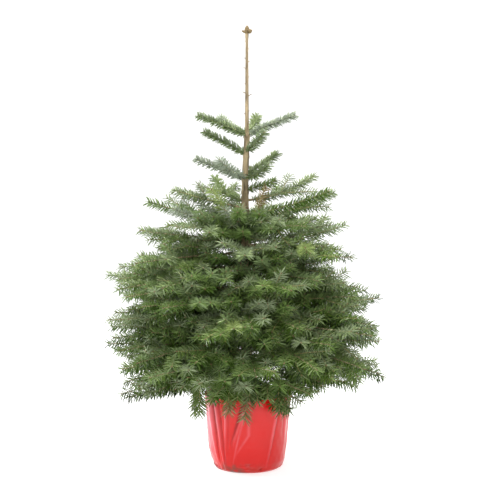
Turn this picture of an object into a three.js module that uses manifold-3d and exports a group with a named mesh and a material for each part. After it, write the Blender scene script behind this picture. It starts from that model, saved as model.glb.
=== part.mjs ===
// A living fir tree of about one metre, sold in its pot as a Christmas tree.
//
// A slim trunk carries whorls of boughs. Each year's growth ends in one whorl, so the whorls are
// short and far apart at the top and long and close at the foot. Foliage is modelled as sprays: one
// flat, uneven body of needles and side shoots for each bough. The tree stands in a nursery pot
// full of soil, and a bag of red film is pulled up round the pot.
//
// Units are millimetres and +Z is up. The origin is the middle of the bag's flat underside, where
// the tree meets the floor. A bough's turn is counted in degrees from +X towards +Y.
import * as THREE from "three";
import { mergeVertices } from "three/addons/utils/BufferGeometryUtils.js";
import Module from "manifold-3d";

const wasm = await Module();
wasm.setup();

// ---- Driving dimensions ----

const TREE_TOP = 1156; // the leader's tip, under its buds
const POT_HEIGHT = 190;
const POT_FOOT_RADIUS = 90;
const POT_RIM_RADIUS = 109;
const POT_WALL = 2.5;
const FILM = 1.2; // the bag's thickness
const SOIL_BELOW_RIM = 16;
const GAP = 0.3; // between pieces that touch
const NEEDLE = 22; // how far needles stand out from a shoot

const LEADER_TIP_RADIUS = 3.6;
const LEADER_FOOT_RADIUS = 5.6;
const TRUNK_TOP_RADIUS = 7.5; // just under the first whorl
const TRUNK_FOOT_RADIUS = 15.8; // above the root flare
const FLARE = 8; // what the root flare adds at the soil
const FLARE_HEIGHT = 9; // the height in which the flare falls to a third
const LEAN = 7; // the trunk's bend to -X
const STEP_BACK = 4.8; // how much of it the wood takes back over the top two whorls
const SWAY = 5; // and to +Y

const UP = new THREE.Vector3(0, 0, 1);
const SOIL_TOP = POT_HEIGHT - SOIL_BELOW_RIM;

// One row for each whorl of boughs, from the top down. `height` is where the boughs leave the
// trunk, `rise` is how far their tips end above that, `sag` is how far the middle of a bough hangs
// below a straight line, `years` is how many seasons it has grown, and each bough is
// [turn, reach, lift], where the lift is what its own tip adds to the rise.
const WHORLS = [
  {
    name: "crown", height: 885, rise: 56, sag: 10, years: 1,
    boughs: [[182, 138, 4], [2, 136, 6], [128, 128, 4], [74, 104, 8]],
  },
  {
    name: "upper", height: 831, rise: 62, sag: 8, years: 1,
    boughs: [[172, 121, 12], [308, 85, 7]],
  },
  {
    name: "middle", height: 770, rise: 50, sag: 9, years: 1,
    boughs: [[176, 141, 9], [232, 117, 8], [30, 108, 27], [325, 82, -6]],
  },
  {
    name: "lower", height: 736, rise: 34, sag: 4, years: 1,
    boughs: [[8, 92, 2]],
  },
  {
    name: "first", height: 690, rise: 62, sag: 24, years: 2, bare: 16,
    boughs: [[168, 206, -4], [36, 244, 34], [118, 196, 28]],
  },
  {
    name: "second", height: 636, rise: 58, sag: 30, years: 2,
    boughs: [
      [186, 266, 24], [230, 274, -36], [306, 266, -34], [12, 252, 48], [96, 262, 4], [264, 190, 0],
    ],
  },
  {
    name: "third", height: 572, rise: 34, sag: 22, years: 3,
    boughs: [[160, 312, 24], [212, 336, -42], [270, 282, -14], [334, 314, -30], [22, 306, 44], [92, 296, 6]],
  },
  {
    name: "fourth", height: 488, rise: 22, sag: 16, years: 3,
    boughs: [[172, 388, 4], [218, 384, -24], [290, 336, 0], [346, 312, -16], [44, 346, 12], [110, 340, 4]],
  },
  {
    name: "fifth", height: 404, rise: 8, sag: 8, years: 4,
    boughs: [[198, 384, 0], [260, 358, -6], [326, 390, -40], [10, 378, 40], [74, 356, 4], [142, 372, 22]],
  },
  {
    name: "sixth", height: 322, rise: -14, sag: 0, years: 4,
    boughs: [[172, 392, 18], [218, 400, -16], [274, 350, -16], [330, 392, -34], [20, 396, 52], [96, 360, 4]],
  },
  {
    name: "foot", height: 254, rise: -28, sag: -6, years: 3,
    boughs: [[196, 350, -24], [250, 272, -8], [306, 276, 0], [350, 304, -12], [102, 330, -4]],
  },
  {
    name: "skirt", height: 214, rise: -40, sag: -14, years: 1,
    boughs: [[212, 174, -20], [314, 168, -6]],
  },
];

// ---- Solids ----

const uneven = (share) => 1 + share * (2 * THREE.MathUtils.seededRandom() - 1);
THREE.MathUtils.seededRandom(7);

// A geometry as a manifold-3d solid, turned the right way out.
function solidOf(geometry) {
  const bare = geometry.clone();
  bare.deleteAttribute("normal");
  bare.deleteAttribute("uv");
  const merged = mergeVertices(bare, 1e-3);
  const vertProperties = new Float32Array(merged.getAttribute("position").array);
  const build = (triVerts) =>
    new wasm.Manifold(new wasm.Mesh({ numProp: 3, vertProperties, triVerts }));
  const made = build(new Uint32Array(merged.index.array));
  return made.volume() < 0 ? build(new Uint32Array(merged.index.array).reverse()) : made;
}

function geometryOf(solid) {
  const mesh = solid.getMesh();
  const points = new Float32Array(mesh.numVert * 3);
  for (let i = 0; i < mesh.numVert; i++) {
    points.set(mesh.vertProperties.subarray(i * mesh.numProp, i * mesh.numProp + 3), i * 3);
  }
  return new THREE.BufferGeometry()
    .setAttribute("position", new THREE.BufferAttribute(points, 3))
    .setIndex(new THREE.BufferAttribute(new Uint32Array(mesh.triVerts), 1));
}

// The largest body of a solid: a cut can leave crumbs beside it.
const largest = (solid) =>
  solid.decompose().reduce((most, body) => (body.volume() > most.volume() ? body : most));

// A closed body round a curve. Its section at each station is an ellipse-like ring whose half
// sizes come from `section(station, angle)` as [across, upwards].
function bodyAlong(curve, shares, sides, section, grow = 0) {
  const last = shares.length - 1;
  const profile = shares.map((_, i) => new THREE.Vector2(1, i));
  profile.unshift(new THREE.Vector2(0, 0));
  profile.push(new THREE.Vector2(0, last));
  const geometry = new THREE.LatheGeometry(profile, sides);
  const position = geometry.getAttribute("position");
  for (let i = 0; i < position.count; i++) {
    const station = Math.round(position.getY(i));
    const [x, z] = [position.getX(i), position.getZ(i)];
    const along = curve.getTangent(shares[station]);
    const side = new THREE.Vector3().crossVectors(along, UP).normalize();
    const lift = new THREE.Vector3().crossVectors(side, along);
    const point = curve.getPoint(shares[station]);
    if (station === 0) point.addScaledVector(along, -grow);
    if (station === last) point.addScaledVector(along, grow);
    if (Math.hypot(x, z) > 0.5) {
      const angle = Math.atan2(z, x);
      const [across, upwards] = section(station, angle);
      point.addScaledVector(side, across + grow * Math.cos(angle));
      point.addScaledVector(lift, upwards + grow * Math.sin(angle));
    }
    position.setXYZ(i, point.x, point.y, point.z);
  }
  return solidOf(geometry);
}

// ---- Trunk ----

// The trunk leans a little to -X on its way up and steps back under the leader.
function trunkAt(height) {
  const share = (height - SOIL_TOP) / (TREE_TOP - SOIL_TOP);
  const lean = -LEAN * Math.sin(Math.min(2.9 * share, Math.PI / 2));
  const back = STEP_BACK * THREE.MathUtils.smoothstep(height, 770, 880);
  return new THREE.Vector3(lean + back, SWAY * Math.sin(2.6 * share), height);
}

// Radius at a height: a root flare, a steady taper up to the first whorl, and then the leader.
function trunkRadius(height) {
  const { mapLinear } = THREE.MathUtils;
  const leaderFoot = WHORLS[0].height;
  if (height > leaderFoot) {
    return mapLinear(height, leaderFoot, TREE_TOP, LEADER_FOOT_RADIUS, LEADER_TIP_RADIUS);
  }
  const flare = FLARE * Math.exp((SOIL_TOP - height) / FLARE_HEIGHT);
  return mapLinear(height, SOIL_TOP, leaderFoot, TRUNK_FOOT_RADIUS, TRUNK_TOP_RADIUS) + flare;
}

const TRUNK_SIDES = 8;
const KNUCKLE = 1.16; // the swelling where a whorl leaves
const KNUCKLE_HEIGHT = 8; // from its middle to its end

// Rings are [height, swelling]. Knuckles are rounded only above, where the trunk can be seen.
function trunkSolid(grow = 0) {
  const start = SOIL_TOP + GAP;
  const rings = [start, start + FLARE, start + 2 * FLARE, TREE_TOP].map((height) => [height, 1]);
  for (const { height, years } of WHORLS) {
    rings.push([height, KNUCKLE]);
    if (years < 3) rings.push([height - KNUCKLE_HEIGHT, 1], [height + KNUCKLE_HEIGHT, 1]);
  }
  rings.sort((a, b) => a[0] - b[0]);
  const profile = rings.map(
    ([height, swell]) => new THREE.Vector2(trunkRadius(height) * swell + grow, height),
  );
  profile.unshift(new THREE.Vector2(0, start));
  profile.push(new THREE.Vector2(0, TREE_TOP));
  const geometry = new THREE.LatheGeometry(profile, TRUNK_SIDES).rotateX(Math.PI / 2);
  const position = geometry.getAttribute("position");
  for (let i = 0; i < position.count; i++) {
    const middle = trunkAt(position.getZ(i));
    position.setXY(i, position.getX(i) + middle.x, position.getY(i) + middle.y);
  }
  return solidOf(geometry);
}

const BUD = 5; // a bud's half width
const BUDS_RISE = 7; // the side buds' middle, above the leader's tip
const BUDS_TILT = THREE.MathUtils.degToRad(74); // from upright
const SIDE_BUDS = 4;

// The cluster of winter buds on the leader's tip: one upright bud and a ring of side buds, with
// a flat seat.
function leaderBuds() {
  const bud = (size) => new THREE.SphereGeometry(BUD * size, 6, 4).scale(1, 1, 1.75);
  let cluster = solidOf(bud(1.1).translate(0, 0, BUDS_RISE + 2));
  for (let i = 0; i < SIDE_BUDS; i++) {
    const turned = bud(0.88)
      .translate(0, 0, 1.6 * BUD)
      .rotateY(BUDS_TILT)
      .rotateZ((2 * Math.PI * i) / SIDE_BUDS + 0.1)
      .translate(0, 0, BUDS_RISE);
    cluster = cluster.add(solidOf(turned));
  }
  const below = new THREE.BoxGeometry(50, 50, 50).translate(0, 0, -25);
  const tip = trunkAt(TREE_TOP);
  return cluster.subtract(solidOf(below)).translate([tip.x, tip.y, TREE_TOP + GAP]);
}

// ---- Boughs and sprays ----

// A bough's middle line: it leaves the trunk, sags and lifts its tip again. `from` is the share
// of it that is left off at the trunk.
function boughCurve(whorl, [turn, reach, lift], from = 0) {
  const turned = THREE.MathUtils.degToRad(turn);
  const out = new THREE.Vector3(Math.cos(turned), Math.sin(turned), 0);
  const root = trunkAt(whorl.height);
  const tip = root.clone().addScaledVector(out, reach);
  tip.z += whorl.rise + lift;
  const middle = root.clone().lerp(tip, 0.5);
  middle.z -= whorl.sag;
  const start = new THREE.QuadraticBezierCurve3(root, middle, tip).getPoint(from);
  return new THREE.QuadraticBezierCurve3(start, middle.clone().lerp(tip, from), tip);
}

const BOUGH_SIDES = 6;
const BOUGH_SHARES = [0, 0.5, 1];
const BOUGH_RADIUS = 4.8; // at the trunk
const BOUGH_TAPER = 0.6; // what it loses from one share to the next
const SOCKET = 12; // how far a bough runs on inside its spray

// The bare foot of a bough, thicker where it leaves the trunk.
function boughSolid(whorl, bough, grow = 0) {
  const whole = boughCurve(whorl, bough);
  const foot = new THREE.LineCurve3(whole.getPoint(0), whole.getPoint((whorl.bare + SOCKET) / bough[1]));
  return bodyAlong(
    foot, BOUGH_SHARES, BOUGH_SIDES,
    (station, angle) => {
      const radius = BOUGH_RADIUS - BOUGH_TAPER * station;
      return [radius * Math.cos(angle), radius * Math.sin(angle)];
    },
    grow,
  );
}

const SPRAY_SIDES = 6;
const SHOOT_TURN = THREE.MathUtils.degToRad(50); // between a side shoot and its bough
const ABOVE = 0.3; // how far a spray lies above its bough, over its half depth
const SHOOT_SHARE = 0.56; // a side shoot's length over what is left of the bough beyond it

// A spray's stations as [share of its length, half width, half depth]. A bough of one year is a
// single shoot. On an older one, each year's side shoots start at one node and end further out,
// and leave a notch before the next year's. The spray is deep by the trunk, where shoots of
// several years overlap, and thin at the tip, where only one shoot's needles are left.
function sprayPlan(years, reach) {
  if (years === 1) {
    return [[0.03, 0.35], [0.24, 0.9], [0.6, 0.95], [0.9, 0.7], [1, 0.2]]
      .map(([share, width]) => [share, width * NEEDLE, width * NEEDLE * 0.8]);
  }
  const plan = [[0.03, NEEDLE * 0.5, NEEDLE * 0.5], [0.16, 0.12 * reach + NEEDLE / 2, 26 + 5 * years]];
  for (let year = 1; year < years; year++) {
    const node = (year / years) ** 0.9;
    const shoot = SHOOT_SHARE * (1 - node) * reach * (year === 1 ? 1.3 : 1.1);
    const share = node + (shoot * Math.cos(SHOOT_TURN)) / reach;
    const width = shoot * Math.sin(SHOOT_TURN) + NEEDLE * 0.6;
    const depth = THREE.MathUtils.lerp(28 + 4 * years, NEEDLE * 0.9, share * share);
    plan.push([share, width, depth], [Math.min(share + 0.07, 0.93), width * 0.66, depth]);
  }
  plan.push([1, NEEDLE * 0.3, NEEDLE * 0.3]);
  return plan.filter(([share], i) => i === 0 || share - plan[i - 1][0] > 0.02);
}

function sprayShape(whorl, bough) {
  const reach = bough[1];
  const from = whorl.bare ? whorl.bare / reach : 0;
  const curve = boughCurve(whorl, bough, from);
  const plan = sprayPlan(whorl.years, reach * (1 - from));
  const rough = plan.map(() => Array.from({ length: SPRAY_SIDES }, () => uneven(0.13)));
  return (grow) =>
    bodyAlong(
      curve, plan.map(([share]) => share), SPRAY_SIDES,
      (station, angle) => {
        const k = (Math.round((angle / (2 * Math.PI)) * SPRAY_SIDES) + SPRAY_SIDES) % SPRAY_SIDES;
        const [, halfWidth, halfDepth] = plan[station].map((size) => size * rough[station][k]);
        return [halfWidth * Math.cos(angle), halfDepth * (Math.sin(angle) + ABOVE)];
      },
      grow,
    );
}

// ---- Pot, soil and bag ----

function turnedSolid(profile, sides) {
  const points = profile.map(([radius, height]) => new THREE.Vector2(radius, height));
  return new THREE.LatheGeometry(points, sides).rotateX(Math.PI / 2);
}

const POT_SIDES = 32;
const POT_FLOOR = FILM + GAP;

const potRadius = (height) =>
  POT_FOOT_RADIUS + ((POT_RIM_RADIUS - POT_FOOT_RADIUS) * (height - POT_FLOOR)) / (POT_HEIGHT - POT_FLOOR);

// The pot has a thin wall, a rounded foot and a lip round its rim.
const POT_LIP = 3; // how far it stands out
const POT_LIP_HEIGHT = 11;
const POT_FOOT_ROUND = 4;

function potGeometry() {
  const inside = POT_FLOOR + POT_WALL;
  const underLip = POT_HEIGHT - POT_LIP_HEIGHT;
  return turnedSolid(
    [
      [0, POT_FLOOR], [POT_FOOT_RADIUS - POT_FOOT_ROUND, POT_FLOOR],
      [potRadius(POT_FLOOR + POT_FOOT_ROUND), POT_FLOOR + POT_FOOT_ROUND],
      [potRadius(underLip - 1), underLip - 1], [POT_RIM_RADIUS + POT_LIP, underLip],
      [POT_RIM_RADIUS + POT_LIP, POT_HEIGHT], [POT_RIM_RADIUS - POT_WALL, POT_HEIGHT],
      [potRadius(inside) - POT_WALL, inside], [0, inside],
    ],
    POT_SIDES,
  );
}

// The soil fills the pot and is rounded down a little at its edge.
const SOIL_EDGE = 9;

function soilGeometry() {
  const foot = POT_FLOOR + POT_WALL + GAP;
  const edge = SOIL_TOP - SOIL_EDGE / 2;
  const inner = (height) => potRadius(height) - POT_WALL - 4 * GAP;
  return turnedSolid(
    [[0, foot], [inner(foot), foot], [inner(edge), edge],
      [inner(SOIL_TOP) - SOIL_EDGE, SOIL_TOP], [0, SOIL_TOP]],
    POT_SIDES,
  );
}

// The bag hugs the foot of the pot, stands off its side in shallow folds and opens at the top.
const BAG_FOLDS = 7;
const BAG_FOLD = 2.2; // how deep a fold is
const BAG_PROFILE = [[0, 90], [5, 95], [24, 101], [70, 106.5], [199, 116]];

function bagGeometry() {
  const outer = BAG_PROFILE.map(([height, radius]) => [radius, height]);
  const inner = BAG_PROFILE.slice(1).map(([height, radius]) => [radius - FILM, height]);
  const foot = [[BAG_PROFILE[0][1] - FILM, FILM], [0, FILM]];
  const geometry = turnedSolid([[0, 0], ...outer, ...inner.reverse(), ...foot], POT_SIDES);
  const position = geometry.getAttribute("position");
  for (let i = 0; i < position.count; i++) {
    const [x, y, z] = [position.getX(i), position.getY(i), position.getZ(i)];
    const turn = Math.atan2(y, x);
    const share = z / POT_HEIGHT;
    const fold = (BAG_FOLD / 2) * (1 + Math.sin(BAG_FOLDS * turn + 2 * share)) * Math.min(1, 2 * share);
    const radius = Math.hypot(x, y);
    const grown = z > FILM ? (radius + fold) / radius : 1;
    position.setXY(i, x * grown, y * grown);
  }
  return geometry;
}

// ---- The object ----

const MATERIALS = {
  bark: new THREE.MeshStandardMaterial({ color: 0x8f8169, roughness: 0.9, metalness: 0 }),
  bud: new THREE.MeshStandardMaterial({ color: 0x8c7048, roughness: 0.7, metalness: 0 }),
  needles: new THREE.MeshStandardMaterial({ color: 0x41571f, roughness: 0.55, metalness: 0 }),
  pot: new THREE.MeshStandardMaterial({ color: 0x1c1c1e, roughness: 0.6, metalness: 0 }),
  soil: new THREE.MeshStandardMaterial({ color: 0x3a2a1d, roughness: 1, metalness: 0 }),
  film: new THREE.MeshStandardMaterial({ color: 0xd8332c, roughness: 0.25, metalness: 0 }),
};

const tree = new THREE.Group();

function add(name, geometry, material) {
  const mesh = new THREE.Mesh(geometry, material);
  mesh.name = name;
  tree.add(mesh);
}

add("pot", potGeometry(), MATERIALS.pot);
add("root_ball", soilGeometry(), MATERIALS.soil);
add("pot_bag", bagGeometry(), MATERIALS.film);
add("trunk", geometryOf(trunkSolid()), MATERIALS.bark);
add("leader_buds", geometryOf(leaderBuds()), MATERIALS.bud);

// Sprays are cut round the trunk, round the boughs, and round the sprays above them. The solids
// that cut are a gap larger, so that no two pieces share a surface.
const CUT = 0.4;
const boxesMeet = (a, b) =>
  [0, 1, 2].every((axis) => a.min[axis] < b.max[axis] && b.min[axis] < a.max[axis]);

const cutters = [trunkSolid(GAP)];
for (const whorl of WHORLS.filter(({ bare }) => bare)) {
  whorl.boughs.forEach((bough, i) => {
    const foot = largest(boughSolid(whorl, bough).subtract(cutters[0]));
    add(`bough_${whorl.name}_${i + 1}`, geometryOf(foot), MATERIALS.bark);
    cutters.push(boughSolid(whorl, bough, CUT));
  });
}

// The lowest sprays lie on the bag's rim, and are cut round the bag as if it were whole.
const [bagTop, bagRadius] = BAG_PROFILE.at(-1).map((size) => size + BAG_FOLD + GAP);
cutters.push(solidOf(turnedSolid([[0, 0], [bagRadius, 0], [bagRadius, bagTop], [0, bagTop]], POT_SIDES)));

for (const whorl of WHORLS) {
  whorl.boughs.forEach((bough, i) => {
    const shape = sprayShape(whorl, bough);
    let spray = shape(0);
    const box = spray.boundingBox();
    for (const cutter of cutters) {
      if (boxesMeet(box, cutter.boundingBox())) spray = spray.subtract(cutter);
    }
    add(`spray_${whorl.name}_${i + 1}`, geometryOf(largest(spray)), MATERIALS.needles);
    cutters.push(shape(CUT));
  });
}

export default tree;
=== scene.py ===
# %% [markdown]
# # A young fir in a wrapped pot
#
# A potted Christmas tree is thousands of small things in a strict order: a trunk, a whorl of
# boughs for each year, side shoots on the boughs, and needles on the shoots. This lesson grows
# them in that order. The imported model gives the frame: where the trunk stands, how far each bough
# reaches and how large the pot is. Everything else is grown on from those solids by one seeded
# rule, so that the tree comes out the same each time.

import math
from dataclasses import dataclass
from typing import NamedTuple

import bpy
import numpy as np
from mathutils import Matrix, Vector


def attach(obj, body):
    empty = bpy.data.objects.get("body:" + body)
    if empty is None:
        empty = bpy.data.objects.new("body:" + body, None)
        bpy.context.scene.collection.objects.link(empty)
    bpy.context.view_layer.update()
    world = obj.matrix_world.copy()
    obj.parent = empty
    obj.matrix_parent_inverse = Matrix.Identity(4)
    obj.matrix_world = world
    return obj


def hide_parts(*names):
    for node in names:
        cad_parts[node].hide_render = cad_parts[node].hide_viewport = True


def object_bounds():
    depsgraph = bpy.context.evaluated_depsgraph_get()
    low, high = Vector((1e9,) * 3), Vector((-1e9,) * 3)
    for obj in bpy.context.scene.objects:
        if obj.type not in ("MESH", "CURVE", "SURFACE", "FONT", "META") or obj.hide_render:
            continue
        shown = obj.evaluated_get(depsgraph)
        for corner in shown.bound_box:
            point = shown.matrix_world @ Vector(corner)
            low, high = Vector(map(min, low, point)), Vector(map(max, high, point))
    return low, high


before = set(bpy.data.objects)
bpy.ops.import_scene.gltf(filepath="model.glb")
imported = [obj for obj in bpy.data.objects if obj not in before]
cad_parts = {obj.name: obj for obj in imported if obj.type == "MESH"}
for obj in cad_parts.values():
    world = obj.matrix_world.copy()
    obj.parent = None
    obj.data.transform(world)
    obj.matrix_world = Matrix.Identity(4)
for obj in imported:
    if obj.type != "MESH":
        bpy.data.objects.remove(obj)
cad_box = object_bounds()

MM = 0.001
UP = np.array([0.0, 0.0, 1.0])
rng = np.random.default_rng(20)
scene = bpy.context.scene

tree_height = cad_box[1][2] - cad_box[0][2]
print("the tree is", round(tree_height, 3), "m tall and has", len(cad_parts), "solids")

# %% [markdown]
# ## Camera, floor and light
#
# The tree is seen from a little above its middle and three metres away, so the foot of the pot
# shows as a shallow curve. In a studio it would stand between two tall soft boxes, with another
# above it, one in front and one that faces the white wall behind. The two at the sides matter
# most: they draw the pale streaks on the film and the glint along the needles. Small lamps would
# light it too, but they would dot the film with hard bright spots. The floor and the wall are one
# sheet that curves up behind, so no line shows where they meet.

# %% Camera
CAMERA_HEIGHT = 0.78
CAMERA_DISTANCE = 3.0
FRAME_HEIGHT = 1.335  # metres of the tree's own plane that fit in the picture
aim = Vector((0.006, 0.0, 0.582))  # about half way up the tree, and just beside its axis

camera_data = bpy.data.cameras.new("camera")
camera = bpy.data.objects.new("camera", camera_data)
scene.collection.objects.link(camera)
camera.location = (aim.x, -CAMERA_DISTANCE, CAMERA_HEIGHT)
sight = aim - camera.location
camera.rotation_euler = sight.to_track_quat("-Z", "Y").to_euler()
camera_data.angle = 2 * math.atan(FRAME_HEIGHT / 2 / sight.length)
scene.camera = camera
print("the lens sees", round(math.degrees(camera_data.angle), 1), "degrees")


# %% Helpers for every finish
def linear(red, green, blue):
    """A colour as a painter names it, from 0 to 255, as the shader wants it."""
    share = np.array([red, green, blue]) / 255
    curved = np.where(share <= 0.04045, share / 12.92, ((share + 0.055) / 1.055) ** 2.4)
    return (*curved.tolist(), 1.0)


def shader_of(finish):
    """The shader that holds a finish's settings."""
    return finish.node_tree.nodes["Principled BSDF"]


def finish_of(name, color, roughness, **more):
    """A new material whose shader has these settings."""
    made = bpy.data.materials.new(name)
    made.use_nodes = True
    settings = {"Base Color": color, "Roughness": roughness}
    settings.update({socket.replace("_", " "): value for socket, value in more.items()})
    for socket, value in settings.items():
        shader_of(made).inputs[socket].default_value = value
    return made


# %% Floor and wall
def sheet_behind(width, front, bend_at, bend, height, steps=16):
    """A floor that runs back, curves up through a quarter circle and becomes a wall."""
    line = [(front, 0.0), (bend_at, 0.0)]
    for step in range(1, steps + 1):
        angle = step / steps * math.pi / 2
        line.append((bend_at + bend * math.sin(angle), bend * (1 - math.cos(angle))))
    line.append((bend_at + bend, height))
    points = [(x, y, z) for y, z in line for x in (-width / 2, width / 2)]
    faces = [(2 * i, 2 * i + 1, 2 * i + 3, 2 * i + 2) for i in range(len(line) - 1)]
    return points, faces


WHITE = (1, 1, 1, 1)
stage_points, stage_faces = sheet_behind(width=24, front=-12, bend_at=5, bend=3, height=9)
stage_mesh = bpy.data.meshes.new("studio")
stage_mesh.from_pydata(stage_points, [], stage_faces)
stage_mesh.polygons.foreach_set("use_smooth", [True] * len(stage_faces))
paper = finish_of(
    "white studio paper", (0.5, 0.5, 0.5, 1), 0.9, Emission_Color=WHITE, Emission_Strength=0.66
)
stage_mesh.materials.append(paper)
studio = bpy.data.objects.new("studio", stage_mesh)
scene.collection.objects.link(studio)
print("the floor and the wall are one sheet of", len(stage_faces), "strips")


# %% Light
def soft_box(name, spot, size, watts, toward=(0, 0, 0.6)):
    """A rectangular area light that faces a point on the tree."""
    data = bpy.data.lights.new(name, "AREA")
    data.shape = "RECTANGLE"
    data.size, data.size_y = size
    data.energy = watts
    box = bpy.data.objects.new(name, data)
    box.location = spot
    box.rotation_euler = (Vector(toward) - Vector(spot)).to_track_quat("-Z", "Y").to_euler()
    scene.collection.objects.link(box)


soft_box("left box", (-2.6, 0.9, 1.0), (0.45, 2.4), 115)
soft_box("right box", (2.1, 2.0, 1.1), (1.0, 2.4), 57)
soft_box("top box", (0.2, -0.4, 3.2), (2.2, 2.0), 158)
soft_box("front box", (-0.6, -4.2, 1.8), (2.0, 2.0), 66)
soft_box("wall box", (0, 3.5, 5.0), (8.0, 2.0), 60, toward=(0, 8, 1.5))

world = bpy.data.worlds.new("white room")
scene.world = world
world.use_nodes = True
world.node_tree.nodes["Background"].inputs["Color"].default_value = WHITE
world.node_tree.nodes["Background"].inputs["Strength"].default_value = 0.6
scene.view_settings.view_transform = "Standard"
print("lit by", len(bpy.data.lights), "soft boxes and a white room")

# %% [markdown]
# ## Reading the tree from its solids
#
# The trunk's solid is a stack of rings, so its middle line and its thickness at any height are
# read from them. The solid round each spray of foliage gives its bough: the bough starts at the
# trunk, at the height of the solid's inner end, and runs to the solid's furthest point. Half way
# along, the solid's own height says how much the bough sags. All this could be typed in again as
# numbers, but read from the solids it follows every change to them.


# %% Trunk line
def points_of(node):
    """A solid's corners, each once, as rows of x, y and z."""
    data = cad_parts[node].data
    points = np.empty(3 * len(data.vertices))
    data.vertices.foreach_get("co", points)
    return np.unique(points.reshape(-1, 3).round(6), axis=0)


trunk_points = points_of("trunk")
ring_heights = np.unique(trunk_points[:, 2].round(4))
rings = [trunk_points[abs(trunk_points[:, 2] - height) < 0.2 * MM] for height in ring_heights]
ring_middles = np.array([(ring.min(0) + ring.max(0)) / 2 for ring in rings])
ring_radii = np.array(
    [np.hypot(*(ring - middle)[:, :2].T).max() for ring, middle in zip(rings, ring_middles)]
)
soil_top, trunk_top = ring_heights[[0, -1]]


def trunk_at(height):
    """The trunk's middle at a height, or at each of several."""
    x = np.interp(height, ring_heights, ring_middles[:, 0])
    y = np.interp(height, ring_heights, ring_middles[:, 1])
    return np.stack([x, y, np.asarray(height, float)], -1)


def trunk_radius(height):
    """The trunk's radius at a height, or at each of several."""
    return np.interp(height, ring_heights, ring_radii)


print("trunk from", soil_top, "to", trunk_top, "with radii", ring_radii.round(4)[::9])


# %% A bough's line
def unit(vector):
    """A direction of length one."""
    return vector / np.linalg.norm(vector)


STEP = 7 * MM  # between the points of a shoot's path


@dataclass
class Bough:
    """One main bough: its three guide points and how many seasons it has grown."""

    root: np.ndarray
    middle: np.ndarray
    tip: np.ndarray
    years: int

    def path(self, fewest):
        """Points along its smooth line, at even steps, but not fewer than these."""
        count = max(fewest, round(np.linalg.norm(self.tip - self.root) / STEP))
        share = np.linspace(0, 1, count + 1)[:, None]
        bend = 2 * self.middle - (self.root + self.tip) / 2
        return self.root * (1 - share) ** 2 + bend * 2 * share * (1 - share) + self.tip * share**2


# %% Read each bough from the solid of its spray
INNER_SHARE = 0.16  # the part of a spray that is this near the trunk shows where its bough starts
NEEDLE_PAST_TIP = 13 * MM  # needles reach this far past the wood of a shoot's tip
BELOW_START, BELOW_MIDDLE = 2 * MM, 4 * MM  # wood lies a little under the middle of its foliage
YEAR_REACHES = (0.155, 0.285, 0.345)  # a bough is a year older for each of these it outgrows


def bough_of(node):
    """Reads a bough from the solid of its spray."""
    points = points_of(node)
    from_trunk = np.hypot(*(points - trunk_at(points[:, 2]))[:, :2].T)
    reach = from_trunk.max()
    inner = points[from_trunk < INNER_SHARE * reach, 2]
    root = trunk_at((inner.min() + inner.max()) / 2 - BELOW_START)
    tip = points[from_trunk.argmax()]
    tip = tip - unit(tip - root) * NEEDLE_PAST_TIP
    from_half = abs(from_trunk / reach - 0.5)
    nearest_quarter = np.sort(from_half)[: len(points) // 4][-1]
    half = points[from_half <= nearest_quarter, 2]
    middle = (root + tip) / 2
    middle[2] = (half.min() + half.max()) / 2 - BELOW_MIDDLE
    years = 1 + sum(reach > limit for limit in YEAR_REACHES)
    return Bough(root, middle, tip, years)


sprays = sorted(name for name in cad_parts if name.startswith("spray_"))
boughs = [bough_of(name) for name in sprays]
by_age = [sum(bough.years == years for bough in boughs) for years in (1, 2, 3, 4)]
print(len(boughs), "boughs, of which", by_age, "are one to four years old")

# %% [markdown]
# ## Growing the shoots
#
# A fir grows in whorls at every scale. Each spring the bud at a shoot's end makes the next length
# of wood, and the buds beside it make a pair of side shoots at about fifty degrees, flat to
# either side. So a bough of four years is a line with three nodes, and each node carries two
# shoots that are younger by the years that came before it. The rule calls itself on those. Old
# boughs crowd each other, so smaller boughs fill in above and below the large ones. Drawing more
# than a thousand shoots by hand would take weeks, and a tree of copied boughs would look stamped.


# %% A shoot and its path
@dataclass
class Shoot:
    """One length of wood with its needles: a path, its age in years and its rank on the bough."""

    path: np.ndarray
    years: int
    rank: int
    height: float


def distances(path):
    """How far along a path each of its points lies."""
    return np.concatenate([[0], np.cumsum(np.linalg.norm(np.diff(path, axis=0), axis=1))])


FORWARD_PULL = 0.035  # how much of its parent's direction a shoot takes on at each step
DROOP_PULL = 0.03
WANDER = 0.018


def path_from(start, heading, length, forward, droop):
    """A shoot's path: it leaves at its heading, then bends forward and droops or lifts."""
    count = max(4, round(length / STEP))
    path = [start]
    for _ in range(count):
        pull = forward * FORWARD_PULL - UP * droop * DROOP_PULL
        heading = unit(heading + pull + rng.normal(0, WANDER, 3))
        path.append(path[-1] + heading * length / count)
    return np.array(path)


# %% The growth rule
SIDE_TURN = math.radians(50)  # between a side shoot and its parent
SIDE_SHARE = 0.62  # a side shoot's length over what is left of its parent beyond it
OLDEST_MORE, YOUNGEST_MORE = 1.15, 1.35  # how much further the first and the last pair reach
LONE_SHARE = 0.6  # the length of a single shoot above or below, over that of a pair
NO_LONE_SHOOT = 0.35  # how often a node has none
SHORTEST = 34 * MM
shoots = []


def node_shares(years):
    """Where along a shoot each past year's growth ended. The first year's is the longest."""
    return [(year / years) ** 0.9 for year in range(1, years)]


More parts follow.
